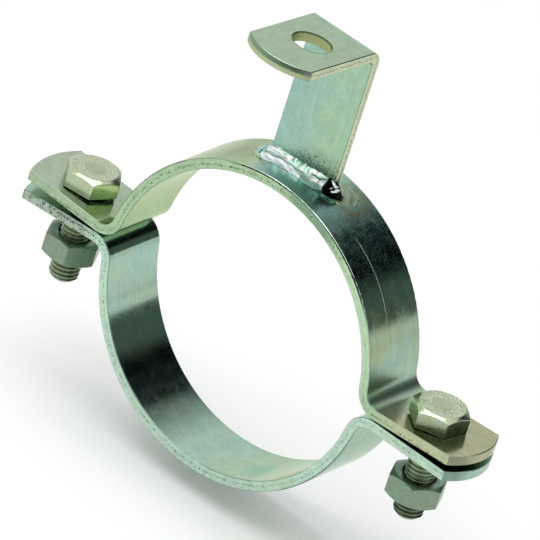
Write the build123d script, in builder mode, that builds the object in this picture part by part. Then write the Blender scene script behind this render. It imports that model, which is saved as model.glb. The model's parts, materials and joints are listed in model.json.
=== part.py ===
# Two-part pipe clamp of plated flat strip for a downpipe of 100 mm: two half bands with ears,
# an angled bracket welded on the crown, and two hexagon bolts with their nuts.
# Frame: X runs through both bolts, Y along the pipe's axis, Z up. The origin is the pipe's centre,
# midway across the bands. Sizes are in millimetres and angles in degrees.
import os
from math import asin, cos, degrees, radians, sin, sqrt, tan

from build123d import *

# Strip and pipe
pipe_radius = 50.0
strip_width = 25.5
strip_thickness = 3.5
bend_radius = 5.0
edge_round = 0.4

# Ears of the half bands, and how far the two halves stand apart where they almost touch. A rounded
# end's radius is its roundness times the strip's width.
parting_gap = 0.3
bolt_beyond_pipe = 22.5
ear_margin = 15.0
left_ear_end_roundness = 1.22
right_ear_end_roundness = 0.82
upper_left_splay = 3.4
upper_right_splay = 2.9
lower_left_splay = 3.0
lower_right_splay = 0.9

# Bolts and nuts, M10 with 17 mm across flats
bolt_diameter = 10.0
bolt_length = 34.5
bolt_hole_clearance = 1.0
bolt_end_chamfer = 1.3
across_flats = 17.0
head_height = 6.4
washer_face_inset = 0.7
washer_face_height = 0.4
head_chamfer_inset = 1.4
head_chamfer_angle = 32.0
seat_clearance = 0.02
nut_height = 8.0
nut_chamfer_inset = 0.5
nut_chamfer_angle = 30.0
nut_bore_clearance = 0.05
nut_countersink = 0.5
left_nut_gap = 8.6
right_nut_gap = 11.15
left_head_turn = 6.8
right_head_turn = 20.0
left_nut_turn = -3.6
right_nut_turn = -5.4

# Bracket, bent from the same strip and standing on the crown of the upper band
bracket_leg_height = 51.8
bracket_front = -2.2
bracket_bend_radius = 2.0
plate_rise = 4.0
plate_reach = 33.0
plate_end_roundness = 0.7
plate_hole_diameter = 13.0
plate_hole_inset = 15.8

# Weld along the foot of the bracket
weld_leg_on_band = 3.2
weld_leg_on_bracket = 4.5
weld_bulge = 0.7
weld_past_left_side = 5.5
weld_past_right_side = 4.0
weld_end_round_share = 0.4

half_width = strip_width / 2
band_outer_radius = pipe_radius + strip_thickness
bolt_offset = pipe_radius + bolt_beyond_pipe
ear_reach = bolt_offset + ear_margin
apothem = across_flats / 2
corner_radius = apothem / cos(radians(30))
washer_face_radius = apothem - washer_face_inset

# The reverse bend's centre lies so that it meets the ring's arc and leaves half the parting gap
bend_height = bend_radius + strip_thickness + parting_gap / 2
ring_end_angle = degrees(asin(bend_height / (band_outer_radius + bend_radius)))
bend_centre_x = (band_outer_radius + bend_radius) * cos(radians(ring_end_angle))


def end_sagitta(roundness):
    """How far a strip's rounded end stands out past its two corners."""
    radius = roundness * strip_width
    return radius - sqrt(radius**2 - half_width**2)


def ear_top(x, splay):
    """Height of an ear's far face above the parting plane, at the distance x from the centre."""
    foot_x = bend_centre_x + bend_radius * sin(radians(splay))
    foot_height = bend_height - bend_radius * cos(radians(splay))
    return foot_height + (x - foot_x) * tan(radians(splay))


def round_long_edges(faces):
    """Round the long edges of the faces, and leave those that only cross the strip's thickness."""
    longest_across = 1.5 * strip_thickness
    fillet(faces.edges().filter_by(lambda edge: edge.length > longest_across), edge_round)


def half_band(section_plane, left_splay, right_splay):
    """Strip bent to half a ring and turned outwards into two ears with rounded, drilled ends."""
    ring_arc = 90 - ring_end_angle
    left_tip = -ear_reach - end_sagitta(left_ear_end_roundness)
    right_tip = ear_reach + end_sagitta(right_ear_end_roundness)
    with BuildPart() as band:
        with BuildSketch(section_plane):
            with BuildLine():
                for side, splay, tip in ((-1, left_splay, -left_tip), (1, right_splay, right_tip)):
                    run_out = Vector(side * sin(radians(splay)), -cos(radians(splay)))
                    along = Vector(side * cos(radians(splay)), sin(radians(splay)))
                    bend_centre = Vector(side * bend_centre_x, bend_height)
                    near_root = bend_centre + run_out * (bend_radius + strip_thickness)
                    far_root = bend_centre + run_out * bend_radius
                    near_tip = near_root + along * (tip + strip_thickness - abs(near_root.X))
                    far_tip = near_tip - run_out * strip_thickness
                    bend_start = 270 - side * ring_arc
                    bend_arc = side * (ring_arc + splay)
                    CenterArc((0, 0), pipe_radius, 90, -side * ring_arc)
                    CenterArc(bend_centre, bend_radius + strip_thickness, bend_start, bend_arc)
                    Line(near_root, near_tip)
                    Line(near_tip, far_tip)
                    Line(far_tip, far_root)
                    CenterArc(bend_centre, bend_radius, bend_start, bend_arc)
                    CenterArc((0, 0), band_outer_radius, 90, -side * ring_arc)
            make_face()
        extrude(amount=half_width, both=True)
        with BuildSketch():
            with BuildLine():
                Line((-ear_reach, -half_width), (ear_reach, -half_width))
                ThreePointArc((ear_reach, -half_width), (right_tip, 0), (ear_reach, half_width))
                Line((ear_reach, half_width), (-ear_reach, half_width))
                ThreePointArc((-ear_reach, half_width), (left_tip, 0), (-ear_reach, -half_width))
            make_face()
        extrude(amount=band_outer_radius + strip_width, both=True, mode=Mode.INTERSECT)
        with BuildSketch():
            with Locations((-bolt_offset, 0), (bolt_offset, 0)):
                Circle(bolt_diameter / 2 + bolt_hole_clearance)
        extrude(amount=strip_width, both=True, mode=Mode.SUBTRACT)
        faces_by_x = band.faces().sort_by(Axis.X)
        round_long_edges(band.faces().filter_by(Axis.Y) + faces_by_x[:1] + faces_by_x[-1:])
    return band.part


def hexagon_blank(height, chamfer_inset, chamfer_angle, chamfer_both_ends):
    """Hexagon of the bolts and nuts on the XY plane, its corners chamfered by a cone."""
    face_radius = apothem - chamfer_inset
    drop = (corner_radius - face_radius) * tan(radians(chamfer_angle))
    start = drop if chamfer_both_ends else 0
    foot_radius = face_radius if chamfer_both_ends else corner_radius
    with BuildPart() as blank:
        with BuildSketch():
            RegularPolygon(apothem, 6, major_radius=False)
        extrude(amount=height)
        with BuildSketch(Plane.XZ):
            Polygon(
                (0, 0),
                (foot_radius, 0),
                (corner_radius, start),
                (corner_radius, height - drop),
                (face_radius, height),
                (0, height),
                align=None,
            )
        revolve(axis=Axis.Z, mode=Mode.INTERSECT)
    return blank.part


def hexagon_bolt(x, splay, turn):
    """Bolt hanging through the ears at x, its washer face on the upper ear that slopes by the splay."""
    seat = ear_top(bolt_offset + washer_face_radius, splay) + seat_clearance
    with BuildPart() as bolt:
        with Locations(Location((x, 0, seat + washer_face_height), (0, 0, turn))):
            head_above_washer = head_height - washer_face_height
            add(hexagon_blank(head_above_washer, head_chamfer_inset, head_chamfer_angle, False))
        with BuildSketch(Plane((x, 0, seat))):
            Circle(washer_face_radius)
        extrude(amount=washer_face_height)
        with BuildSketch(Plane((x, 0, seat))):
            Circle(bolt_diameter / 2)
        extrude(amount=-bolt_length)
        chamfer(bolt.edges().group_by(Axis.Z)[0], bolt_end_chamfer)
    return bolt.part


def hexagon_nut(x, splay, gap, turn):
    """Nut on the bolt at x, its top face lower by the gap than the lower ear that slopes by the splay."""
    top = -ear_top(bolt_offset, splay) - gap
    bore_radius = bolt_diameter / 2 + nut_bore_clearance
    with BuildPart() as nut:
        with Locations(Location((x, 0, top - nut_height), (0, 0, turn))):
            add(hexagon_blank(nut_height, nut_chamfer_inset, nut_chamfer_angle, True))
        with BuildSketch(Plane((x, 0, top))):
            Circle(bore_radius)
        extrude(amount=-nut_height, mode=Mode.SUBTRACT)
        bore_rims = nut.edges().filter_by(GeomType.CIRCLE).filter_by(
            lambda edge: abs(edge.radius - bore_radius) < nut_bore_clearance / 2
        )
        chamfer(bore_rims, nut_countersink)
    return nut.part


# Upper half band, carrying the bracket
with BuildPart() as upper_band:
    add(half_band(Plane.XZ, upper_left_splay, upper_right_splay))
upper_band.part.label = "upper_band"

# Lower half band, the same strip turned over
turned_over = Plane((0, 0, 0), x_dir=(1, 0, 0), z_dir=(0, 1, 0))
with BuildPart() as lower_band:
    add(half_band(turned_over, lower_left_splay, lower_right_splay))
lower_band.part.label = "lower_band"

# Bracket: leg across the crown, bend, and drilled plate that rises a little towards its free end
bracket_height = band_outer_radius + bracket_leg_height
bracket_back = bracket_front + strip_thickness
plate_direction = Vector(0, -cos(radians(plate_rise)), sin(radians(plate_rise)))
plate_normal = Vector(0, sin(radians(plate_rise)), cos(radians(plate_rise)))
outer_corner = Vector(0, bracket_back, bracket_height)
inner_corner = Vector(
    0,
    bracket_front,
    bracket_height + strip_thickness * tan(radians(plate_rise)) - strip_thickness / cos(radians(plate_rise)),
)
free_corners = outer_corner + plate_direction * (strip_thickness + plate_reach)
plate_plane = Plane(free_corners, x_dir=(1, 0, 0), z_dir=plate_normal)
plate_sagitta = end_sagitta(plate_end_roundness)
with BuildPart() as bracket:
    with BuildSketch(Plane.YZ) as bracket_section:
        overrun = plate_sagitta + strip_thickness
        plate_tip = free_corners + plate_direction * overrun
        plate_tip_below = plate_tip - plate_normal * strip_thickness
        with BuildLine():
            Polyline(
                (bracket_front, pipe_radius),
                (inner_corner.Y, inner_corner.Z),
                (plate_tip_below.Y, plate_tip_below.Z),
                (plate_tip.Y, plate_tip.Z),
                (outer_corner.Y, outer_corner.Z),
                (bracket_back, pipe_radius),
                close=True,
            )
        make_face()
        inner_bend = bracket_section.vertices().sort_by_distance((inner_corner.Y, inner_corner.Z))[0]
        fillet(inner_bend, bracket_bend_radius)
        outer_bend = bracket_section.vertices().sort_by_distance((outer_corner.Y, outer_corner.Z))[0]
        fillet(outer_bend, bracket_bend_radius + strip_thickness)
    extrude(amount=half_width, both=True)
    with BuildSketch(plate_plane):
        with BuildLine():
            back = plate_reach + bracket_height
            Line((-half_width, back), (-half_width, 0))
            ThreePointArc((-half_width, 0), (0, -plate_sagitta), (half_width, 0))
            Line((half_width, 0), (half_width, back))
            Line((half_width, back), (-half_width, back))
        make_face()
    extrude(amount=bracket_height, both=True, mode=Mode.INTERSECT)
    with BuildSketch(plate_plane):
        with Locations((0, plate_hole_inset)):
            Circle(plate_hole_diameter / 2)
    extrude(amount=plate_reach, both=True, mode=Mode.SUBTRACT)
    with BuildSketch(Plane.XZ):
        Circle(band_outer_radius)
    extrude(amount=strip_width, both=True, mode=Mode.SUBTRACT)
    round_long_edges(bracket.faces().filter_by(Axis.X) + bracket.faces().sort_by(Axis.Y)[:1])
bracket.part.label = "bracket"

# Weld bead in the corner between the bracket's leg and the band, following the band's curve
left_angle = degrees(asin((half_width + weld_past_left_side) / band_outer_radius))
right_angle = degrees(asin((half_width + weld_past_right_side) / band_outer_radius))
with BuildPart() as weld_bead:
    start_plane = Plane.YZ.rotated((0, -left_angle, 0))
    with BuildSketch(start_plane):
        with BuildLine():
            toe_on_band = (bracket_front - weld_leg_on_band, band_outer_radius)
            toe_on_leg = (bracket_front, band_outer_radius + weld_leg_on_bracket)
            crest = (
                bracket_front - weld_leg_on_band / 2 - weld_bulge,
                band_outer_radius + weld_leg_on_bracket / 2 + weld_bulge,
            )
            Line((bracket_front, band_outer_radius), toe_on_band)
            ThreePointArc(toe_on_band, crest, toe_on_leg)
            Line(toe_on_leg, (bracket_front, band_outer_radius))
        make_face()
    revolve(axis=Axis.Y, revolution_arc=left_angle + right_angle)
    end_edges = weld_bead.faces().filter_by(GeomType.PLANE).filter_by(Axis.Y, reverse=True).edges()
    fillet(end_edges.filter_by(GeomType.CIRCLE), weld_end_round_share * weld_leg_on_band)
weld_bead.part.label = "weld_bead"

# Bolts and nuts
with BuildPart() as bolt_left:
    add(hexagon_bolt(-bolt_offset, upper_left_splay, left_head_turn))
bolt_left.part.label = "bolt_left"

with BuildPart() as bolt_right:
    add(hexagon_bolt(bolt_offset, upper_right_splay, right_head_turn))
bolt_right.part.label = "bolt_right"

with BuildPart() as nut_left:
    add(hexagon_nut(-bolt_offset, lower_left_splay, left_nut_gap, left_nut_turn))
nut_left.part.label = "nut_left"

with BuildPart() as nut_right:
    add(hexagon_nut(bolt_offset, lower_right_splay, right_nut_gap, right_nut_turn))
nut_right.part.label = "nut_right"

os.makedirs("parts", exist_ok=True)
export_step(upper_band.part, "parts/upper_band.step")
export_step(lower_band.part, "parts/lower_band.step")
export_step(bracket.part, "parts/bracket.step")
export_step(weld_bead.part, "parts/weld_bead.step")
export_step(bolt_left.part, "parts/bolt_left.step")
export_step(bolt_right.part, "parts/bolt_right.step")
export_step(nut_left.part, "parts/nut_left.step")
export_step(nut_right.part, "parts/nut_right.step")
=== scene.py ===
import bpy
import json
import math
import numpy as np
from functools import partial
from mathutils import Matrix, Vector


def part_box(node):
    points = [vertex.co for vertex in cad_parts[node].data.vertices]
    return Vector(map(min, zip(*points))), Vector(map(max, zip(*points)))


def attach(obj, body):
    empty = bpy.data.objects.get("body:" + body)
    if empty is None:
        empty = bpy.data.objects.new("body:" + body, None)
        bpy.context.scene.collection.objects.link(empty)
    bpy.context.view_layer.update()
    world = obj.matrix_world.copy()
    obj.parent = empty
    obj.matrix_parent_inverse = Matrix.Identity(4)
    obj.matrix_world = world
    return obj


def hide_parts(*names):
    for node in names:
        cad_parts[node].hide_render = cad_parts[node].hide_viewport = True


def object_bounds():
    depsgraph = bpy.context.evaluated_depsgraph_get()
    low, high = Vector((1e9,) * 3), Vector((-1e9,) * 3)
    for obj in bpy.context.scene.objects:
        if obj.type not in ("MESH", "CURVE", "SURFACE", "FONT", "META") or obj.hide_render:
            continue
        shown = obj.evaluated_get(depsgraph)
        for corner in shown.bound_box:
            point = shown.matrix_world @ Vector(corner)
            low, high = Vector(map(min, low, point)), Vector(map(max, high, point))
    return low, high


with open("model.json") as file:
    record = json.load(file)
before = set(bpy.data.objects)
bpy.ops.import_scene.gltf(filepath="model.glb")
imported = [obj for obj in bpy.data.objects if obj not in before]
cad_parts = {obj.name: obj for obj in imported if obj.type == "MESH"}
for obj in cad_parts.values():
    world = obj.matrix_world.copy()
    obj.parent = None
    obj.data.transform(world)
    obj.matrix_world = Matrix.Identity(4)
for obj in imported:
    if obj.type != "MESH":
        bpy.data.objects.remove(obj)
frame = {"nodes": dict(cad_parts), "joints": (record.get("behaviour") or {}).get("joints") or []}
cadBounds = [list(corner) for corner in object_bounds()]
mm = 0.001
deepestSlide = max(-joint["range_m"][0] for joint in frame["joints"] if "range_m" in joint)
print("frame loaded:", ", ".join(sorted(frame["nodes"])))


def linearColour(code):
    # an sRGB hex value as linear red, green, blue and full alpha
    channels = [int(code[i:i + 2], 16) / 255 for i in (0, 2, 4)]
    return [c / 12.92 if c <= 0.04045 else ((c + 0.055) / 1.055) ** 2.4 for c in channels] + [1]


def addNode(tree, kind, *inputs, named=None, **settings):
    # adds one shader node; its kind may be followed by its operation. Inputs come in the order in which Blender
    # shows them, or by name: a socket to link, a value or an sRGB hex colour. Gives back its only output, or all.
    kind, _, operation = kind.partition(" ")
    node = tree.nodes.new("ShaderNode" + kind)
    if operation:
        node.operation = operation
    for name, value in settings.items():
        setattr(node, name, value)
    given = list(zip([socket for socket in node.inputs if socket.enabled], inputs))
    given += [(node.inputs[name], item) for name, item in (named or {}).items()]
    for socket, item in given:
        if isinstance(item, bpy.types.NodeSocket):
            tree.links.new(item, socket)
        else:
            socket.default_value = linearColour(item) if isinstance(item, str) else item
    outputs = [socket for socket in node.outputs if socket.enabled]
    return outputs[0] if len(outputs) == 1 else node.outputs


def newMaterial(name):
    # an empty material, with the function that adds nodes to it
    material = bpy.data.materials.new(name)
    material.use_nodes = True
    material.node_tree.nodes.clear()
    return material, partial(addNode, material.node_tree)


def finishMetal(add, colour, roughness, height, grazing="ffffff"):
    # plated steel: a plain metal shader that takes colour, gloss and relief in mm from the nodes; its plate
    # keeps a tint of its own where it is seen at a flat angle
    relief = add("Bump", named={"Strength": 1.0, "Distance": mm, "Height": height})
    shader = add("BsdfPrincipled", named={"Base Color": colour, "Metallic": 1.0, "Roughness": roughness,
                                          "Normal": relief, "Specular Tint": grazing})
    add("OutputMaterial", shader)


def where(add, *edges, most=1.0):
    # a share from 0 to most: each edge is a value and the two places between which the share climbs from 0
    share = most
    for value, outside, inside in edges:
        share = add("MapRange", value, outside, inside, 0.0, share)
    return share


def layered(add, colour, *layers):
    # a colour with others laid over it in turn, each by its share
    for share, tint in layers:
        colour = add("Mix", share, colour, tint, data_type="RGBA")
    return colour


def shadedBy(add, colour, *patterns):
    # a colour made darker and lighter by patterns, each with its factors at its low and high places
    for pattern, low, high in patterns:
        colour = add("VectorMath SCALE", colour, add("MapRange", pattern, 0.3, 0.7, low, high))
    return colour


def distance(add, across, up):
    # straight distance, from spans in two directions
    squares = add("Math MULTIPLY_ADD", up, up, add("Math MULTIPLY", across, across))
    return add("Math SQRT", squares)


def patternAt(add, place, shift, size, detail=2.0, roughness=0.5, stretch=(1, 1, 1)):
    # noise whose cells measure size in mm, drawn out along an axis where stretch is below 1; shift moves the
    # piece to another part of the noise
    moved = add("Mapping", named={"Vector": place, "Location": shift, "Scale": [s / size for s in stretch]})
    return add("TexNoise", moved, 1.0, detail, roughness)["Fac"]


# Zinc-plated rolled steel strip, clear blue-green passivated: a soft metallic sheen, cloudy tints of mint,
# cyan and straw, fine rolling marks along the strip, and sheared edges with a torn, pitted middle line.
stripLook = {
    "tintSize": 15.0, "cloudSize": 4.0, "peelSize": 0.9, "grainSize": 0.3, "pitSize": 0.5,      # mm
    "streakWidth": 0.4, "streakStretch": 0.03,
    "seed": {"upper_band": 0.0, "lower_band": 13.0, "bracket": 27.0},
    "roughness": {"upper_band": (0.12, 0.24), "lower_band": (0.09, 0.18), "bracket": (0.13, 0.27)},
    "earRoughness": 0.18, "bendRoughness": 0.3, "edgeRoughness": 0.36,
    # under and in front of the weld the band is rougher and gets a painted dark reflection of the surround
    "weldFrontRoughness": 0.3, "weldFrontReflectionShare": 0.7, "weldFrontReflection": "7aa0a6",      # under the weld
    "grazing": "eff5e8",
    "peelDepth": 0.0035, "streakDepth": 0.0012, "pitDepth": 0.06,            # mm
    "grainDepth": {"upper_band": 0.0036, "lower_band": 0.0016, "bracket": 0.002},
    "coolFrom": (0.44, 0.62), "warmFrom": (0.46, 0.64), "pitFrom": (0.62, 0.7), "speckFrom": (0.62, 0.68),
    "tornDepth": 1.55,       # mm from the inner face to the torn line
    "tornWidth": 0.75, "tornWander": 0.6,
    "tornPits": {"upper_band": 0.11, "lower_band": 0.08, "bracket": 0.12},
    "spatterPits": 0.15, "endRagged": 1.6,
    # the rim tints: a dark burr with a painted dark reflection, and a painted highlight line beside it
    "cornerTint": "4c5f50", "rimBurrAndReflection": "10211f", "rimHighlight": "e2ebe2",
    "edgeDark": "7b977e", "edgeLight": "bcdab6",
    "holeRim": "4c583e", "holeWall": "939d70",
}
# sRGB tints of each piece: the main one, two cloud tints, and those of its ends, places and edges
stripTints = {
    "upper_band": {"main": "a4bfa8", "cool": "9cbaab", "straw": "a9bc9a", "left": "a8b8a4", "right": "a9aa8c",
                   "side": "92a87c", "inside": "a9c094", "middle": "86b2a8",
                   "edge": "a6c29e", "edgeLeft": "a2b898", "edgeRight": "b6bf9a", "pit": "46554a"},
    "lower_band": {"main": "a3bfb0", "cool": "9ebfb3", "straw": "a7bfa8", "left": "a0b9a8", "right": "a0bdb0",
                   "edge": "b8d4c0", "edgeLeft": "b0c2ae", "edgeRight": "b8d2bc", "pit": "3b4b45"},
    "bracket": {"main": "9abba8", "cool": "94bbac", "straw": "a1bc9e", "left": "93b8ab", "right": "9dbda0",
                "plate": "a2b7a1", "foot": "6f7a62",
                "endTop": "43513f", "endMiddle": "728872", "endLow": "a9b58a",
                "edge": "c0cbaa", "edgeLeft": "c0cbaa", "edgeRight": "c6cfb0", "pit": "4a5a4c"},
}
# Places on the strips where tint or gloss changes: the greatest share there, then edges. Each edge names a value
# and the two places between which the share climbs from 0. In mm are x, y, z, out (x without its sign), depth
# (from the inner face, or from the bracket's back and top), ragged (depth made uneven by the pits) and fromHole
# (from the hole's wall). normal is the part of the face's normal along the strip's width, sideways is that
# without its sign, and forward is the part along Y without its sign.
stripPlaces = {
    "all": {"edge": (1, ("sideways", 0.8, 0.97)),
            "corner": (0.5, ("sideways", 0.2, 0.4), ("sideways", 0.9, 0.75))},
    "band": {
        "left": (1, ("x", -56, -66)), "right": (1, ("x", 56, 66)), "ear": (1, ("out", 60, 66)),
        "side": (0.9, ("x", -12, -30)), "outside": (1, ("depth", 1.0, 2.5)),
        "middle": (0.9, ("x", -4, 14), ("x", 46, 34)), "bend": (1, ("x", 47, 52)),
        # rougher, with a painted dark reflection, on the band in front of the weld
        "weldFront": (1, ("x", -14, -8), ("x", 18, 12), ("y", -3, -4), ("sideways", 0.2, 0.05)),
        "worn": (0.1, ("x", -52, -62)),
        # the sheared corner under the weld has a jagged dark burr with a painted dark reflection on it, and a
        # painted highlight line beside it
        "rim": (1, ("x", -20, -14), ("x", 46, 40), ("ragged", 3.3, 3.5)),
        "rimFront": (1, ("normal", -0.75, -0.9)),
        "rimHighlightLine": (1, ("normal", -0.8, -0.65), ("normal", -0.2, -0.35)),
        "darkEdge": (0.75, ("x", 2, 9), ("x", 28, 21)), "lightEdge": (0.7, ("x", 26, 34), ("x", 54, 49)),
    },
    "bracket": {
        "left": (1, ("x", 2, -12)), "right": (1, ("x", -2, 12)), "plate": (1, ("y", -3, -6)),
        "foot": (1, ("z", 67, 58), ("x", -6, 6), ("grain", 0.35, 0.6)),
        "spatter": (1, ("z", 66, 56), ("x", -9, 2), ("y", 1, 0)),
        "holeWall": (1, ("fromHole", 0.22, 0.1), ("y", -6, -8)), "insideHole": (1, ("depth", 0.25, 0.8)),
        "end": (0.85, ("y", -31, -33.5), ("forward", 0.6, 0.85)),
        "endRight": (1, ("x", -6, 4)), "endLow": (1, ("ragged", 2.4, 2.9)),
    },
}
bandShape = {"ringInner": 50.0, "bendX": 57.857, "bendZ": 8.65, "bendOuter": 8.5, "earLow": 0.15}      # mm
bracketShape = {"legBack": 1.3, "plateTop": 105.3, "plateRise": math.tan(math.radians(4)),
                "holeY": -19.472, "holeRadius": 6.5}


def bandDepth(add, x, z):
    # mm from a band's inner face: by radius on the ring, from the bend's centre there, by height on the ear
    shape = bandShape
    out, up = add("Math ABSOLUTE", x), add("Math ABSOLUTE", z)
    ring = add("Math SUBTRACT", distance(add, out, up), shape["ringInner"])
    fromBend = distance(add, add("Math SUBTRACT", out, shape["bendX"]), add("Math SUBTRACT", up, shape["bendZ"]))
    bend = add("Math SUBTRACT", shape["bendOuter"], fromBend)
    ear = add("Math SUBTRACT", up, shape["earLow"])
    onRing = add("Math GREATER_THAN", up, add("Math MULTIPLY", out, shape["bendZ"] / shape["bendX"]))
    onEar = add("Math GREATER_THAN", out, shape["bendX"])
    return add("Mix", onRing, add("Mix", onEar, bend, ear), ring)


def bracketDepth(add, y, z):
    # mm from the bracket's back and top faces, whichever is nearer
    shape = bracketShape
    fromBack = add("Math SUBTRACT", shape["legBack"], y)
    fromTop = add("Math SUBTRACT", shape["plateTop"], add("Math MULTIPLY_ADD", y, shape["plateRise"], z))
    return add("Math MINIMUM", fromBack, fromTop)


# The hairline scratch on the upper band, and the heat marks and stains of each band, by angle from the crown in
# degrees and by y in mm. A stain has a tint, an angle, a y and the reaches between which it fades out.
markLook = {
    "scratchFrom": 29.0, "scratchTo": 62.0, "scratchMiddle": 50.0, "scratchY": -2.75, "scratchBow": 0.0025,
    "scratchWidth": 0.15, "scratchFades": (4, 8), "scratchRoughness": 0.5, "scratchTint": "f0f4ee",
    "scratchShare": 0.7, "stainShare": 0.6, "stainRise": 2, "stainRipple": 1.5,
    "stains": {"upper_band": (("8c8a5e", 17.0, 4.6, 5.5, 9.5), ("8c8a5e", -22.0, -2.5, 2.0, 8.0)),
               "lower_band": (("62b09a", 157.0, -2.5, 0.5, 7.0), ("c2c47c", 141.0, -4.0, 0.5, 11.0))},
}


def scratchMask(add, angle, y):
    look = markLook
    away = add("Math SUBTRACT", angle, look["scratchMiddle"])
    bow = add("Math MULTIPLY", add("Math MULTIPLY", away, away), look["scratchBow"])
    off = add("Math ABSOLUTE", add("Math ADD", add("Math SUBTRACT", y, look["scratchY"]), bow))
    width, start, end = look["scratchWidth"], look["scratchFrom"], look["scratchTo"]
    fadeIn, fadeOut = look["scratchFades"]
    return where(add, (off, width, width / 2), (angle, start, start + fadeIn), (angle, end, end - fadeOut))


def stained(add, colour, angle, y, ripple, stains):
    # lays each stain over a colour as a ring or a spot, its outline made uneven by a ripple of some mm
    for tint, middle, middleY, inner, outer in stains:
        away = distance(add, add("Math SUBTRACT", angle, middle), add("Math SUBTRACT", y, middleY))
        reach = add("Math ADD", away, ripple)
        rise = inner - markLook["stainRise"]
        ring = where(add, (reach, rise, inner), (reach, outer, inner), most=markLook["stainShare"])
        colour = layered(add, colour, (ring, tint))
    return colour


def stripMaterial(name, node):
    onBand, onTop = node != "bracket", node == "upper_band"
    look, tints = stripLook, stripTints[node]
    places = {**stripPlaces["all"], **stripPlaces["band" if onBand else "bracket"]}
    material, add = newMaterial(name)
    coordinates = add("TexCoord")
    place = add("VectorMath SCALE", coordinates["Object"], 1 / mm)
    x, y, z = add("SeparateXYZ", place)
    facing = add("SeparateXYZ", coordinates["Normal"])
    normal = facing[1 if onBand else 0]
    depth = bandDepth(add, x, z) if onBand else bracketDepth(add, y, z)
    seed, drawn = look["seed"][node], look["streakStretch"]
    along = (drawn, 1.0, drawn) if onBand else (1.0, drawn, drawn)
    cool = patternAt(add, place, (3.1 + seed, 0.4, 7.7), look["tintSize"], 3.0)
    warm = patternAt(add, place, (9.3, 5.2 + seed, 1.6), look["tintSize"], 3.0)
    cloud = patternAt(add, place, (1.2, 8.8, 4.1 + seed), look["cloudSize"], 4.0, 0.65)
    peel = patternAt(add, place, (seed, 2.7, 5.5), look["peelSize"], 2.0, 0.6)
    grain = patternAt(add, place, (4.0, seed, 3.5), look["grainSize"], 1.0)
    streak = patternAt(add, place, (6.6, 3.3, 0.9 + seed), look["streakWidth"], 3.0, 0.6, along)
    pitted = patternAt(add, place, (4.4, 7.1, 2.2 + seed), look["pitSize"], 4.0, 0.7)
    values = {"x": x, "y": y, "z": z, "out": add("Math ABSOLUTE", x), "depth": depth, "grain": grain,
              "normal": normal, "sideways": add("Math ABSOLUTE", normal),
              "forward": add("Math ABSOLUTE", facing[1])}

    def at(spot, *more):
        most, *edges = places[spot]
        return where(add, *((values[key], outside, inside) for key, outside, inside in edges), *more, most=most)

    # pits gather along the torn line of the sheared edges, at a worn end and where the weld spattered the leg
    wander = add("MapRange", cloud, 0.0, 1.0, -look["tornWander"], look["tornWander"])
    offLine = add("Math ABSOLUTE", add("Math SUBTRACT", add("Math ADD", depth, wander), look["tornDepth"]))
    torn = where(add, (offLine, look["tornWidth"], 0.0), most=look["tornPits"][node])
    pitted = add("Math ADD", pitted, torn)
    if node == "lower_band":
        pitted = add("Math ADD", pitted, at("worn"))
    edge = at("edge")
    pits = where(add, (pitted, *look["pitFrom"]), (edge, 0, 1))
    if not onBand:
        spatter = at("spatter")
        specks = add("Math MULTIPLY_ADD", spatter, look["spatterPits"], pitted)
        pits = add("Math MAXIMUM", pits, where(add, (specks, *look["speckFrom"]), (spatter, 0.1, 0.4)))
    values["ragged"] = add("Math MULTIPLY_ADD", pitted, 1.0 if onBand else look["endRagged"], depth)

    left, right = at("left"), at("right")
    colour = layered(add, tints["main"], (where(add, (cool, *look["coolFrom"])), tints["cool"]),
                     (where(add, (warm, *look["warmFrom"])), tints["straw"]))
    if onTop:
        sideTint = layered(add, tints["inside"], (at("outside"), tints["side"]))
        colour = layered(add, colour, (at("side"), sideTint), (at("middle"), tints["middle"]))
    colour = layered(add, colour, (left, tints["left"]), (right, tints["right"]))
    if not onBand:
        colour = layered(add, colour, (at("plate"), tints["plate"]), (at("foot"), tints["foot"]))
    colour = shadedBy(add, colour, (cloud, 0.9, 1.07), (streak, 0.9, 1.07), (grain, 0.9, 1.08))
    edgeTint = layered(add, tints["edge"], (right, tints["edgeRight"]), (left, tints["edgeLeft"]))
    edgeTint = shadedBy(add, edgeTint, (pitted, 1.12, 0.84), (cloud, 0.9, 1.1))
    colour = layered(add, colour, (edge, edgeTint), (pits, tints["pit"]), (at("corner"), look["cornerTint"]))
    if onTop:
        # the sheared corner: a dark burr with a painted dark reflection, and a painted highlight line beside it
        rim = at("rim")
        front, corner = at("rimFront", (rim, 0, 1)), at("rimHighlightLine", (rim, 0, 1))
        bare = add("Math SUBTRACT", edge, front)
        colour = layered(add, colour, (front, look["rimBurrAndReflection"]), (corner, look["rimHighlight"]),
                         (at("darkEdge", (edge, 0, 1)), look["edgeDark"]),
                         (at("lightEdge", (bare, 0, 1)), look["edgeLight"]))
    if not onBand:
        toAxis = distance(add, x, add("Math SUBTRACT", y, bracketShape["holeY"]))
        values["fromHole"] = add("Math SUBTRACT", toAxis, bracketShape["holeRadius"])
        wallTint = layered(add, look["holeRim"], (at("insideHole"), look["holeWall"]))
        endTint = layered(add, tints["endMiddle"], (at("endRight"), tints["endTop"]),
                          (at("endLow"), tints["endLow"]))
        colour = layered(add, colour, (at("holeWall"), wallTint), (at("end"), endTint))

    roughness = add("MapRange", add("Math MULTIPLY", add("Math ADD", peel, cloud), 0.5), 0.38, 0.62,
                    *look["roughness"][node])
    glosses = [(edge, look["edgeRoughness"])]
    if onBand:
        glosses.insert(0, (at("ear"), look["earRoughness"]))
        angle = add("Math DEGREES", add("Math ARCTAN2", x, z))
        ripple = add("MapRange", cloud, 0.3, 0.7, -markLook["stainRipple"], markLook["stainRipple"])
    if onTop:
        weldFront, scratch = at("weldFront"), scratchMask(add, angle, y)
        glosses = [(at("bend"), look["bendRoughness"]), (weldFront, look["weldFrontRoughness"]), *glosses,
                   (scratch, markLook["scratchRoughness"])]
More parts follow.
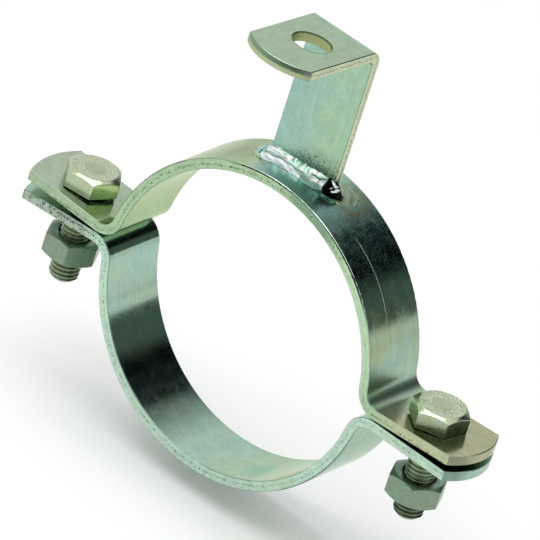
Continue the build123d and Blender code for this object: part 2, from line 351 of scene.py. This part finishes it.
        # painted dark reflection on the band in front of the weld
        colour = layered(add, colour, (where(add, (weldFront, 0, 1), most=look["weldFrontReflectionShare"]), look["weldFrontReflection"]))
    for share, gloss in glosses:
        roughness = add("Mix", share, roughness, gloss)
    if onBand:
        colour = stained(add, colour, angle, y, ripple, markLook["stains"][node])
    if onTop:
        scratchShare = where(add, (scratch, 0, 1), most=markLook["scratchShare"])
        colour = layered(add, colour, (scratchShare, markLook["scratchTint"]))

    height = add("Math MULTIPLY", peel, look["peelDepth"])
    depths = (streak, look["streakDepth"]), (grain, look["grainDepth"][node]), (pits, -look["pitDepth"])
    for pattern, most in depths:
        height = add("Math MULTIPLY_ADD", pattern, most, height)
    finishMetal(add, colour, roughness, height, look["grazing"])
    return material


# Bright zinc plate on a cold-forged bolt: light straw, with a grainy forged ring on the head's top; the thread
# and the recess under the head are darkened with painted shade, and places get painted highlights. Sizes and
# depths are in mm.
boltFinish = {"base": "a4b08c", "paintedHighlight": "d8dcc4", "second": "a2b69c", "dark": "56634f", "cloudSize": 3.0,
              "grainSize": 0.35, "roughness": (0.17, 0.3), "grainDepth": 0.0015, "coarseSize": 0.45,
              "coarseDepth": 0.16}
# Dull zinc plate on a nut: grey-green and rougher.
nutFinish = {"base": "7d9681", "paintedHighlight": "b4c4b4", "second": "84927f", "dark": "1e2620", "cloudSize": 3.2,
             "grainSize": 0.4, "roughness": (0.26, 0.4), "grainDepth": 0.006, "coarseSize": 0.8,
             "coarseDepth": 0.02}
# Plated weld metal: smooth, wet-looking, streaked; painted highlights and dark reflections, glassy slag, painted
# shade at its toes.
weldFinish = {"base": "8fbcb0", "paintedHighlight": "eceef6", "second": "9ab79c", "dark": "060a0a", "cloudSize": 2.2,
              "grainSize": 0.5, "roughness": (0.08, 0.18), "grainDepth": 0.004, "coarseSize": 0.26,
              "coarseDepth": 0.05}
# The puddle beside it: duller, in the band's own tints.
puddleFinish = {"base": "93ad98", "paintedHighlight": "c0ccb8", "second": "a0a984", "dark": "2a3630", "cloudSize": 2.5,
                "grainSize": 0.5, "roughness": (0.2, 0.34), "grainDepth": 0.008, "coarseSize": 0.9,
                "coarseDepth": 0.05}


def platedMaterial(name, finish, stretch=(1, 1, 1), flows=False):
    # the mesh's dark attribute lays painted shade, painted dark reflection or slag on a place, its highlight one
    # lays painted highlights and its coarse one roughens it; on the bead the streaks follow two more attributes,
    # the mm along it and up its face
    material, add = newMaterial(name)
    dark, coarse, paintedHighlight = (add("Attribute", attribute_name=key)["Fac"] for key in ("dark", "coarse", "paintedHighlight"))
    place = add("VectorMath SCALE", add("TexCoord")["Object"], 1 / mm)
    cloud = patternAt(add, place, (2.0, 6.0, 1.0), finish["cloudSize"], 3.0, 0.6)
    grain = patternAt(add, place, (5.0, 1.0, 8.0), finish["grainSize"], 3.0, 0.6)
    if flows:
        place = add("CombineXYZ", *(add("Attribute", attribute_name=key)["Fac"] for key in ("along", "up")))
    lumps = patternAt(add, place, (3.0, 9.0, 6.0), finish["coarseSize"], 3.0, 0.6, stretch)
    streaky = add("Mix", coarse, 1.0, add("MapRange", lumps, 0.4, 0.55, 0.3, 1.0))
    colour = layered(add, finish["base"], (where(add, (cloud, 0.38, 0.62)), finish["second"]),
                     (add("Math MULTIPLY", paintedHighlight, streaky), finish["paintedHighlight"]))
    colour = shadedBy(add, colour, (grain, 0.88, 1.1))
    lumpShade = add("Mix", coarse, 1.0, add("MapRange", lumps, 0.35, 0.65, 0.62, 1.42))
    colour = layered(add, add("VectorMath SCALE", colour, lumpShade), (dark, finish["dark"]))
    roughness = add("MapRange", add("Math MULTIPLY", add("Math ADD", grain, cloud), 0.5), 0.38, 0.62,
                    *finish["roughness"])
    rough = add("Math MULTIPLY", add("Math MULTIPLY", lumps, coarse), finish["coarseDepth"])
    finishMetal(add, colour, roughness, add("Math MULTIPLY_ADD", grain, finish["grainDepth"], rough))
    return material


def meshPiece(name, points, faces, material, marks=None):
    # points in mm, faces as lists of point numbers, marks as values at the points by name
    mesh = bpy.data.meshes.new(name)
    mesh.from_pydata((points * mm).tolist(), [], faces)
    for key, values in (marks or {}).items():
        mesh.attributes.new(key, "FLOAT", "POINT").data.foreach_set("value", values.astype(np.float32))
    mesh.polygons.foreach_set("use_smooth", [True] * len(mesh.polygons))
    mesh.materials.append(material)
    piece = bpy.data.objects.new(name, mesh)
    bpy.context.scene.collection.objects.link(piece)
    return piece


def joinRings(rings, loop=False):
    # quads between rings of points, each ring closed; loop also joins the last ring to the first
    rows, columns = rings.shape[:2]
    row, column = np.meshgrid(np.arange(rows if loop else rows - 1), np.arange(columns), indexing="ij")
    after, above = (column + 1) % columns, (row + 1) % rows
    corners = row * columns + column, row * columns + after, above * columns + after, above * columns + column
    return np.stack(corners, -1).reshape(-1, 4).tolist()


def closePoles(rings, startPole, endPole):
    # a body of rings closed by a fan at each end
    rows, columns = rings.shape[:2]
    points = np.concatenate([rings.reshape(-1, 3), [startPole, endPole]])
    column = np.arange(columns)
    after = (column + 1) % columns
    first, last = np.full(columns, rows * columns), np.full(columns, rows * columns + 1)
    top = (rows - 1) * columns
    fans = np.stack([first, after, column], -1), np.stack([last, top + column, top + after], -1)
    return points, joinRings(rings) + np.concatenate(fans).tolist()


def ringsFrom(rows, middle, turned):
    # rows of (radius, height, darkness) at each angle round a standing axis, as rings of points with darkness
    rings = [np.stack([middle + r * np.cos(turned), r * np.sin(turned), z + 0 * turned], -1)
             for r, z, dark in rows]
    return np.stack(rings), np.concatenate([dark + 0 * turned for r, z, dark in rows])


# Angles of the columns in one sixth of a hexagon, close together at the corner
sectorAngles = np.radians([-1.03, -0.5, 0, 0.5, 1.03, 1.6, 6, 12, 18, 24, 30, 36, 42, 48, 54, 58.4])
hexAngles = (sectorAngles[None, :] + np.radians(60 * np.arange(6))[:, None]).ravel()
boltAxisX = 72.5
hexLook = {"apothem": 8.5, "cornerRound": 0.35, "edgeRound": 0.14}      # mm


def hexRadius(angles, apothem, cornerRound):
    # distance from the axis to a hexagon's side at each angle from a corner, its corners rounded by an arc
    fromCorner = (angles + math.radians(30)) % math.radians(60) - math.radians(30)
    side = apothem / np.cos(math.radians(30) - np.abs(fromCorner))
    arcCentre = (apothem - cornerRound) / math.cos(math.radians(30))
    across = np.clip(arcCentre * np.sin(np.abs(fromCorner)), 0, cornerRound)
    arc = arcCentre * np.cos(fromCorner) + np.sqrt(cornerRound ** 2 - across ** 2)
    return np.where(across < cornerRound / 2, np.minimum(arc, side), side)


def chamferRows(z, side, upward, circle, slope):
    # rows from a hexagon's side over its conical chamfer, which falls from a circle, to the flat face at height
    # z, with the edges above and below the cone rounded over a few rows
    e = hexLook["edgeRound"]
    drop = (side - circle) * slope
    edge = z - upward * drop
    rows = [(side, edge - upward * 4 * e, 0), (side, edge - upward * e, 0),
            (side - 0.2 * e, edge - upward * 0.1 * e, 0)]
    rows += [(side + (circle - side) * t, edge + upward * drop * t, 0) for t in np.linspace(0.12, 0.9, 5)]
    rows += [(circle + 0.3 * e, z - upward * 0.25 * e, 0), (circle - 0.8 * e, z, 0), (circle - 3 * e, z, 0)]
    return rows


# Bolt: a right-hand thread runs the whole shank, which ends in a cone. The radius at angle t and height z
# depends only on z / pitch - t / (2 pi): a wave with flat crests and rounded roots.
# The head's top is a smooth disc in a shallow grainy ring, as a forging die leaves it.
boltLook = {
    "turn": {"bolt_left": 6.8, "bolt_right": 20.0},      # degrees
    "headHeight": 6.4, "washerRadius": 7.8, "washerStep": 0.12, "washerRound": (0.12, 0.1),      # mm
    # the head's lower edge: out from its side and up from the step
    "underHead": ((-0.2, 0.0), (-0.05, 0.03), (0.0, 0.16), (0.0, 0.7)),
    "chamferCircle": 7.6, "chamferSlope": math.tan(math.radians(32)),
    "threadTop": 4.9, "threadDepth": 0.7, "pitch": 1.5, "rowsPerTurn": 14, "crestFlat": 0.12, "flankShare": 0.68,
    "endRadius": 3.6, "endCone": 0.95, "endFlats": (1.6, 3.1), "runOut": 2.5,
    # the head's top: radius, and depth as a share of the dish's; the grainy ring is the first rows
    "topRows": ((6.9, 0.4), (6.4, 0.9), (5.6, 1.0), (4.6, 1.0), (3.6, 0.9), (3.3, 0.5), (2.4, 0.4), (1.0, 0.4)),
    "dishDepth": 0.12, "middleDepth": 0.4, "ringRows": 5,
    # painted shade on the thread, deeper in its roots, and in the recess under the head
    "threadShade": 0.3, "rootShade": 0.35, "recessShade": 0.15,
    # painted shade and painted highlights of each side, anticlockwise from +X
    "sideShade": {"bolt_left": (0, 0, 0, 0, 0, 0), "bolt_right": (0, 0, 0, 0, 0.75, 0.6)},
    "sideHighlight": {"bolt_left": (0.2, 0.2, 0.2, 0.1, 0.15, 1.0), "bolt_right": (0, 0, 0, 0.6, 0, 0)},
    # painted highlights on the chamfer and the grainy ring, and painted shade on each thread towards its end
    "chamferHighlight": 0.3, "ringHighlight": 0.35, "endShade": {"bolt_left": 0.2, "bolt_right": 0.75}, "endReach": 7.0,
}


def boltMesh(node, look):
    low, high = (np.array(corner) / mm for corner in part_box(node))
    middle = math.copysign(boltAxisX, low[0])
    seat, top = high[2] - look["headHeight"], high[2]
    turned = hexAngles + math.radians(look["turn"][node])
    zero = 0 * turned
    side = hexRadius(hexAngles, hexLook["apothem"], hexLook["cornerRound"])
    sideShade, sideHighlight = (np.repeat(look[key][node], len(sectorAngles)) for key in ("sideShade", "sideHighlight"))

    heights = np.arange(low[2], seat - 0.05, look["pitch"] / look["rowsPerTurn"])[:, None]
    phase = (heights / look["pitch"] - turned[None, :] / (2 * math.pi)) % 1
    groove = 1 - np.clip((np.abs(2 * phase - 1) - look["crestFlat"]) / look["flankShare"], 0, 1)
    groove = groove * groove * (3 - 2 * groove) * np.clip((seat - heights) / look["runOut"], 0, 1)
    cone = look["endRadius"] + (heights - low[2]) * look["endCone"]
    radius = np.minimum(look["threadTop"] - look["threadDepth"] * groove, cone)
    # painted shade on the thread, deeper in its roots and towards its end
    threadShade = look["threadShade"] + look["rootShade"] * groove
    nearEnd = np.clip((look["endReach"] - heights + low[2]) / 2, 0, 1)
    dark = threadShade + look["endShade"][node] * nearEnd * (1 - threadShade)

    rows = [(zero + flat, low[2], look["threadShade"]) for flat in look["endFlats"]]
    rows += [(radius[i], heights[i, 0], dark[i]) for i in range(len(heights))]
    # painted shade in the recess under the head and on the head's lower sides
    washer, recess, step = zero + look["washerRadius"], look["recessShade"], seat + look["washerStep"]
    inward, upward = look["washerRound"]
    rows += [(zero + look["threadTop"], seat, recess), (washer - inward, seat, recess),
             (washer, seat + upward, recess), (washer, step, recess)]
    darkness = recess, recess, sideShade, 0.9 * sideShade
    rows += [(side + out, step + up, dark) for (out, up), dark in zip(look["underHead"], darkness)]
    sideRow = len(rows) - 2
    rows += chamferRows(top, side, 1, look["chamferCircle"], look["chamferSlope"])
    ringFrom, ringTo = len(rows) - 2, len(rows) + look["ringRows"]
    rows += [(zero + r, top - look["dishDepth"] * share, 0) for r, share in look["topRows"]]
    rings, dark = ringsFrom(rows, middle, turned)
    crown = top - look["middleDepth"] * look["dishDepth"]
    points, faces = closePoles(rings, (middle, 0, low[2]), (middle, 0, crown))
    coarse, paintedHighlight = np.zeros((2, len(rows), len(turned)))
    coarse[ringFrom:ringTo] = 1
    # painted highlights on the head's sides, its chamfer and its grainy ring
    paintedHighlight[sideRow:sideRow + 4] = sideHighlight
    paintedHighlight[sideRow + 4:ringFrom] = look["chamferHighlight"]
    paintedHighlight[ringFrom + 1:ringTo] = look["ringHighlight"]
    return points, faces, {"dark": np.append(dark, [look["threadShade"], 0]), "coarse": np.append(coarse, [0, 0]),
                           "paintedHighlight": np.append(paintedHighlight, [0, 0])}


# Nut: a hexagon with both ends chamfered and a countersunk bore, darkened inside with painted shade
nutLook = {"grainShare": 0.25, "topShade": 0.4, "turn": {"nut_left": -3.6, "nut_right": -5.4},
           "bore": 5.05, "mouth": 5.6, "mouthRound": (0.2, 0.3, 0.1),      # mm
           "chamferCircle": 8.0, "chamferSlope": math.tan(math.radians(30))}


def nutMesh(node, look):
    low, high = (np.array(corner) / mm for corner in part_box(node))
    turned = hexAngles + math.radians(look["turn"][node])
    side = hexRadius(hexAngles, hexLook["apothem"], hexLook["cornerRound"])
    bore, mouth, sink = 0 * turned + look["bore"], 0 * turned + look["mouth"], look["mouth"] - look["bore"]
    lowRound, topRound, topDrop = look["mouthRound"]
    ends = [chamferRows(z, side, way, look["chamferCircle"], look["chamferSlope"])
            for z, way in ((low[2], -1), (high[2], 1))]
    # painted shade in the bore and its mouths, lighter on the top face round the upper mouth
    rows = [(bore, low[2] + sink, 1), (mouth, low[2], 1), (mouth + lowRound, low[2], 0)]
    rows += ends[0][::-1] + [(side, (low[2] + high[2]) / 2, 0)] + ends[1]
    rows += [(mouth + topRound, high[2], look["topShade"]), (mouth, high[2] - topDrop, 1),
             (bore, high[2] - sink, 1)]
    rings, dark = ringsFrom(rows, math.copysign(boltAxisX, low[0]), turned)
    marks = {"dark": dark, "coarse": 0 * dark + look["grainShare"]}
    return rings.reshape(-1, 3), joinRings(rings, loop=True), marks


# Weld: a bead across the leg's foot on the band's curve. A station at arc length s has a front toe on the band,
# a crest on the leg and a back toe; the surface is a bulged line from toe to crest and a quarter ellipse down
# behind it, with low crescent waves. Arc lengths and heights are in mm over the band. The bead ends on the
# right in a round drop; its toes get painted shade, and the drop's left half glassy slag with a painted dark
# reflection.
weldLook = {
    "bandRadius": 53.5,
    "stations": [-20.6, -20, -18.8, -16.6, -14.6, -12.5, -10, -7.4, -5, -1,
                 3.4, 7.3, 9.8, 12.2, 13.6, 14.7, 15.4],
    "frontToe": [0.4, -0.4, -1.8, -3.5, -4.4, -4.9, -4.8, -4.5, -4.6, -5.2,
                 -5.3, -5.0, -4.0, -3.2, -2.4, -1.2, 0.2],
    "backToe": [1.4, 2.0, 2.4, 2.4, 2.0, 0.9, 0.9, 0.9, 0.9, 0.9, 0.9, 0.9, 0.9, 1.0, 2.0, 2.6, 2.2],
    "crestAt": [0.9, 0.7, 0.3, -0.6, -1.5, *[-1.75] * 7, -1.7, -1.5, -0.4, 0.6, 1.2],
    "crestHeight": [0.05, 0.5, 1.2, 2.1, 3.3, 4.45, 5.45, 4.85, 4.35, 4.2,
                    4.6, 5.6, 6.4, 5.9, 4.2, 2.2, 0.05],
    "bulge": 0.5, "waveLength": 3.1, "waveDepth": 0.03, "waveBow": 2.2, "waveBowAt": 0.45, "waveWander": 0.35,
    "toeWander": 0.15, "heightWander": 0.07, "lumpiness": 0.06, "sunk": 0.35,
    "along": 420, "across": 44, "behind": 14, "under": 6,      # rows of points
    "drop": {"at": 12.3, "y": -1.9, "height": 0.9, "reachAlong": 2.8, "reachAcross": 2.4},
    "toeShade": 0.03, "slagFrom": 11.2, "slagLean": 0.2, "strokeWander": 0.3, "flowLean": 0.12,
}
# Strokes on the bead, each a half width and a line of points (arc length, distance up the bead's face) in mm:
# painted highlights that mirror the surround and softer ones, painted dark reflections and glassy slag, and
# painted shade in hollows
weldStrokes = {
    "paintedHighlight": [(1.0, [(-13.4, 1.3), (-8, 1.0), (-2, 0.9)]), (0.7, [(-2, 1.0), (1.0, 0.6)]),
             (0.9, [(-12.2, 4.0), (-10.0, 4.5)]), (0.45, [(-9.8, 4.3), (-7.0, 3.8)]),
             (0.42, [(3.5, 4.6), (5.5, 4.8), (7.0, 5.1), (8.2, 5.8), (9.0, 6.3)]),
             (0.55, [(5.9, 2.7), (7.4, 3.0), (9.0, 3.2)]), (0.24, [(11.0, 6.0), (12.2, 5.3), (12.8, 4.9)]),
             (0.3, [(13.4, 4.2), (13.5, 3.5), (12.8, 3.0)]), (0.15, [(12.0, 3.7), (12.3, 4.3)]),
             (0.3, [(-4.6, 4.3), (-3.8, 4.2)])],
    "softHighlight": [(0.9, [(-12, 3.6), (-7.4, 3.6), (-4.0, 3.2)]),
              (0.3, [(-4, 3.2), (-0.7, 3.1), (2.4, 3.1), (5.2, 3.5)])],
    "dark": [(0.85, [(10.0, 6.3), (10.4, 4.6), (10.4, 2.8), (10.9, 1.3), (12.6, 0.9), (14.0, 1.4)]),
             (0.6, [(12.8, 2.0), (11.4, 3.4), (11.6, 4.6)]),
             (0.4, [(10.4, 6.9), (12.4, 6.4), (13.8, 5.0), (14.3, 3.4), (14.3, 1.8)]),
             (0.16, [(4.8, 3.7), (6.4, 3.9), (7.8, 4.3), (9.2, 5.0)]),
             (0.4, [(-15.4, 1.4), (-14.7, 2.6)]), (0.25, [(-20.0, 0.5), (-19.0, 1.4), (-17.8, 1.9)])],
    "murky": [(0.4, [(-8.4, 4.9), (-6.6, 4.3), (-1.4, 4.5), (2, 4.9)]),
              (0.8, [(2.4, 1.2), (5, 1.2), (8.4, 1.4)]),
              (0.2, [(-13, 2.7), (-8, 2.4), (-3, 2.3), (2, 2.2)])],
}


def smoothNoise(position, seed, waves=7):
    # a sum of sines with seeded frequencies and phases, between about -1 and 1
    draw = np.random.default_rng(seed)
    rates, phases, weights = (draw.uniform(low, high, waves) for low, high in ((0.3, 2.2), (0, 6.283), (0.4, 1)))
    return sum(w * np.sin(r * position + p) for r, p, w in zip(rates, phases, weights)) / weights.sum()


def strokeMask(s, rise, strokes):
    # how far each place lies under any of the strokes: 1 inside a stroke, falling to 0 over its rim
    mask = np.zeros(s.shape)
    for halfWidth, line in strokes:
        for (s0, r0), (s1, r1) in zip(line, line[1:]):
            share = ((s - s0) * (s1 - s0) + (rise - r0) * (r1 - r0)) / ((s1 - s0) ** 2 + (r1 - r0) ** 2)
            share = np.clip(share, 0, 1)
            away = np.hypot(s - s0 - share * (s1 - s0), rise - r0 - share * (r1 - r0))
            mask = np.maximum(mask, np.clip((halfWidth - away) / 0.25 + 0.5, 0, 1))
    return mask


def onBandCurve(s, y, h):
    # points at arc length s, y and height h over the band
    turn, reach = s / weldLook["bandRadius"], weldLook["bandRadius"] + h
    return np.stack([reach * np.sin(turn), y, reach * np.cos(turn)], -1)


def weldMarks(look, arc, up, v, height):
    # the bead face's painted shade, painted dark reflections and slag, and its painted highlights, from the
    # strokes, the slag and its thin ends
    ragged = look["strokeWander"] * smoothNoise(arc * 0.9 + up * 0.8, 21)
    paintedHighlight, softHighlight, dark, murky = (
        strokeMask(arc + ragged, up + ragged, weldStrokes[kind]) for kind in ("paintedHighlight", "softHighlight", "dark", "murky"))
    # the drop's left half: glassy slag, dark also as a painted dark reflection
    slag = np.clip((arc + look["slagLean"] * up + ragged - look["slagFrom"]) / 0.5, 0, 1)
    dark = np.maximum(np.maximum(dark, 0.4 * murky), slag) * (1 - paintedHighlight)
    dark = dark * np.clip((up - 0.25) / 0.5, 0.15, 1)
    # painted shade along the front toe
    toeShare = 0.6 * np.clip((arc - 1) / 3, 0, 1) * np.clip(9.5 - arc, 0, 1)
    dark = np.maximum(dark, np.clip(1.6 - v / look["toeShade"], 0, 1) * toeShare)
    dark = np.maximum(dark, np.clip(1 - height / 1.6, 0, 0.45))
    return dark, np.maximum(paintedHighlight, 0.5 * softHighlight)


def weldMesh(look):
    s = np.linspace(look["stations"][0], look["stations"][-1], look["along"])[:, None]
    v = np.linspace(0, 1, look["across"])[None, :]
    front, back, crest, height = (
        np.interp(s, look["stations"], look[key]) for key in ("frontToe", "backToe", "crestAt", "crestHeight"))
    front = front + look["toeWander"] * smoothNoise(s * 1.7, 3) * np.clip(height / 3, 0, 1)
    height = height * (1 + look["heightWander"] * smoothNoise(s * 1.1, 5))
    rise = np.hypot(crest - front, height)
    arc, up, y, h = s + 0 * v, rise * v, front + (crest - front) * v, height * v

    # the face stands out by its bulge, its waves and lumps, and the drop
    bow = look["waveBow"] * (v - look["waveBowAt"]) ** 2 + look["waveWander"] * smoothNoise(s * 0.9, 8)
    lift = look["waveDepth"] * np.sin(2 * math.pi * (s / look["waveLength"] + bow))
    lift = (lift + look["lumpiness"] * smoothNoise(s * 1.2 + v * 5, 11)) * np.sin(math.pi * v)
    outward = look["bulge"] * np.clip(height / 3, 0, 1) * 4 * v * (1 - v) + lift * np.clip(height / 2, 0, 1)
    drop = look["drop"]
    near = ((s - drop["at"]) / drop["reachAlong"]) ** 2 + ((y - drop["y"]) / drop["reachAcross"]) ** 2
    outward = outward + drop["height"] * np.sqrt(np.clip(1 - near, 0, 1)) * np.sin(math.pi * v) ** 0.5
    y, h = y - outward * height / rise, h + outward * (crest - front) / rise
    h[:, 0] = -look["sunk"]

    w = np.linspace(0, 1, look["behind"])[None, 1:]
    yBehind = crest + (back - crest) * np.sin(w * math.pi / 2)
    hBehind = height * np.cos(w * math.pi / 2) - look["sunk"] * w
    yUnder = front + (back - front) * np.linspace(1, 0, look["under"])[None, 1:-1]
    y = np.concatenate([y, yBehind, yUnder], 1)
    h = np.concatenate([h, hBehind, 0 * yUnder - look["sunk"]], 1)
    rings = onBandCurve(s + 0 * y, y, h)
    points, faces = closePoles(rings, rings[0].mean(0), rings[-1].mean(0))

    dark, paintedHighlight = weldMarks(look, arc, up, v, height)
    face = {"dark": dark, "paintedHighlight": paintedHighlight, "coarse": np.clip((11 - arc) / 4, 0.15, 1), "along": arc,
            "up": up + look["flowLean"] * (arc + 10)}
    marks = {}
    for key, values in face.items():
        mark = np.zeros(rings.shape[:2])
        mark[:, :look["across"]] = values
        if key in ("along", "up"):
            mark[:, look["across"]:] = values[:, -1:]
        marks[key] = np.append(mark, [0, 0])
    return points, faces, marks


# Puddle of melted metal round the leg's right side: a low dull mound over an uneven oval with a raised rim.
# The oval's outline and its rim swell and shrink as sums of sines of the angle.
puddleLook = {"at": (14.6, 4.6), "along": 4.0, "across": 5.6, "height": 0.14, "sunk": 0.3, "rootDepth": 0.6,
              "rim": 0.07, "rimAt": 0.86, "rimWidth": 0.07, "dark": 0.12, "coarse": 0.4,
              "spokes": 120, "rings": 30}


def puddleMesh(look):
    angle = np.linspace(0, 2 * math.pi, look["spokes"], endpoint=False)[None, :]
    out = np.linspace(1, 0.03, look["rings"])[:, None]
    uneven = 1 + 0.12 * np.sin(3 * angle + 0.6) + 0.07 * np.sin(5 * angle + 2.1) + 0.04 * np.sin(9 * angle)
    s = look["at"][0] + look["along"] * out * np.cos(angle) * uneven
    y = look["at"][1] + look["across"] * out * np.sin(angle) * uneven
    rippled = 1 + 0.5 * np.sin(1.4 * y + 0.8 * s) * np.sin(0.9 * s + 1.1)
    rim = look["rim"] * np.exp(-((out - look["rimAt"]) / look["rimWidth"]) ** 2) * (1 + 0.5 * np.sin(4 * angle))
    h = look["height"] * (1 - out ** 2) ** 0.8 * rippled + rim - look["sunk"] * out ** 20
    rings = onBandCurve(s, y, h)
    base = onBandCurve(np.array(look["at"][0]), np.array(look["at"][1]), -look["rootDepth"])
    points, faces = closePoles(rings, base, rings[-1].mean(0))
    return points, faces, {key: np.full(len(points), look[key]) for key in ("dark", "coarse")}


for node in ("upper_band", "lower_band", "bracket"):
    # the strip pieces keep their CAD shape and get the plated finish
    mesh = frame["nodes"][node].data
    mesh.materials.clear()
    mesh.materials.append(stripMaterial("zincPlatedRolledStrip_" + node, node))
print("strip pieces dressed")


def addPiece(name, parts, material, body, node=None):
    points, faces, marks = parts
    piece = meshPiece(name, points, faces, material, marks)
    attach(piece, body)
    if node:
        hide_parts(node)


boltMaterial = platedMaterial("zincPlatedForgedBolt", boltFinish)
nutMaterial = platedMaterial("dullZincPlatedNut", nutFinish)
weldMaterial = platedMaterial("platedWeldMetal", weldFinish, (0.06, 1.0, 1.0), True)
puddleMaterial = platedMaterial("dullPlatedWeldMetal", puddleFinish)
for side in ("left", "right"):
    bolt, nut = "bolt_" + side, "nut_" + side
    addPiece("threadedBolt_" + side, boltMesh(bolt, boltLook), boltMaterial, side + "_bolt", bolt)
    addPiece("hexagonNut_" + side, nutMesh(nut, nutLook), nutMaterial, side + "_nut", nut)
print("bolts and nuts made")
addPiece("rippledWeldBead", weldMesh(weldLook), weldMaterial, "upper_half", "weld_bead")
addPiece("weldPuddle", puddleMesh(puddleLook), puddleMaterial, "upper_half")
print("weld made")

# Studio: a white floor at the lowest place that a piece slides to, an even white surround, a soft box overhead,
# a dark card behind on the right, which gives the metal its dark reflections, and a grey one in front
studio = {
    "floorRadius": 6.0, "floorSides": 96, "floorColour": "f7f7f7",      # m
    "surroundColour": "ffffff", "surroundDiffuse": 0.8,
    "boxPlace": (-0.25, -0.3, 1.15), "boxSize": 1.1, "boxPower": 7.6,
    "cardRows": 30, "cardColumns": 40,
}
# Each card is part of a sphere round the clamp: its turn from +Y towards +X and its rise over the floor are in
# degrees, its radius and heights in m. Its grey goes from low to high between two heights and on to top between
# two more, it fades in between two places along X, and it fades out over the last two heights.
cards = {
    # the back card's lighter low grey is painted light, as the floor throws it up onto the card
    "backCard": {"radius": 4.0, "turn": (-28, 56), "rise": (5.2, 50), "low": "66726a", "high": "0a0f10",
                 "top": "263032", "heights": (1.5, 1.84), "topHeights": (2.1, 2.5), "fade": (-1.28, 0.62),
                 "topFade": (2.8, 3.05)},
    "frontCard": {"radius": 1.6, "turn": (108, 190), "rise": (10, 50), "low": "80827a", "high": "80827a",
                  "top": "80827a", "heights": (0.2, 0.3), "topHeights": (0.5, 0.6), "fade": (0.0, 0.2),
                  "topFade": (1.15, 1.22)},
}


def makeFloor(look):
    angle = np.linspace(0, 2 * math.pi, look["floorSides"], endpoint=False)
    z = (cadBounds[0][2] - deepestSlide) / mm
    reach = look["floorRadius"] / mm
    rim = np.stack([reach * np.cos(angle), reach * np.sin(angle), 0 * angle + z], -1)
    material, add = newMaterial("mattWhiteFloor")
    add("OutputMaterial", add("BsdfDiffuse", look["floorColour"]))
    meshPiece("floor", rim, [list(range(look["floorSides"]))], material)


def makeCard(name, look):
    rows, columns = studio["cardRows"], studio["cardColumns"]
    turn = np.radians(np.linspace(*look["turn"], columns))[None, :]
    rise = np.radians(np.linspace(*look["rise"], rows))[:, None]
    sphere = np.stack([np.cos(rise) * np.sin(turn), np.cos(rise) * np.cos(turn), np.sin(rise) + 0 * turn], -1)
    start = (np.arange(rows - 1)[:, None] * columns + np.arange(columns - 1)).ravel()
    quads = np.stack([start, start + 1, start + columns + 1, start + columns], -1)
    material, add = newMaterial("paintedStudioCard_" + name)
    x, y, z = add("SeparateXYZ", add("TexCoord")["Object"])
    shade = layered(add, look["low"], (where(add, (z, *look["heights"])), look["high"]),
                    (where(add, (z, *look["topHeights"])), look["top"]))
    cover = where(add, (x, *look["fade"]), (z, *reversed(look["topFade"])))
    add("OutputMaterial", add("MixShader", cover, add("BsdfTransparent"), add("BsdfDiffuse", shade)))
    card = meshPiece(name, sphere.reshape(-1, 3) * look["radius"] / mm, quads.tolist(), material)
    card.visible_camera = card.visible_shadow = card.visible_diffuse = False


def makeLights(look):
    world = bpy.data.worlds.new("whiteSurround")
    bpy.context.scene.world = world
    world.use_nodes = True
    world.node_tree.nodes.clear()
    add = partial(addNode, world.node_tree)
    path = add("LightPath")
    seen = add("Math MAXIMUM", path["Is Camera Ray"], path["Is Glossy Ray"])
    seen = add("Math MAXIMUM", seen, path["Is Transmission Ray"])
    strength = add("MapRange", seen, 0.0, 1.0, look["surroundDiffuse"], 1.0)
    add("OutputWorld", add("Background", look["surroundColour"], strength))
    lamp = bpy.data.lights.new("softBox", "AREA")
    lamp.shape = "SQUARE"
    lamp.size = look["boxSize"]
    lamp.energy = look["boxPower"]
    box = bpy.data.objects.new("softBox", lamp)
    box.location = look["boxPlace"]
    bpy.context.scene.collection.objects.link(box)


makeFloor(studio)
for name, look in cards.items():
    makeCard(name, look)
makeLights(studio)
print("studio made")

# Camera: a long lens from the front right above, rolled as the photograph is
view = {
    "place": (1.503212, -2.557001, 1.710859),      # m
    "right": (0.743049, 0.613811, 0.266672),
    "up": (-0.504026, 0.251129, 0.826373),
    "forward": (-0.440267, 0.748446, -0.495978),
    "focalPixels": 11019.9, "imagePixels": 540, "sensor": 36.0, "reach": 50,
}
camera = bpy.data.objects.new("camera", bpy.data.cameras.new("camera"))
camera.data.sensor_width = view["sensor"]
camera.data.lens = view["focalPixels"] / view["imagePixels"] * view["sensor"]
camera.data.clip_end = view["reach"]
axes = np.array([view["right"], view["up"], [-part for part in view["forward"]]]).T
camera.matrix_world = Matrix.Translation(view["place"]) @ Matrix(axes.tolist()).to_4x4()
bpy.context.scene.collection.objects.link(camera)
bpy.context.scene.camera = camera
bpy.context.scene.view_settings.view_transform = "Standard"
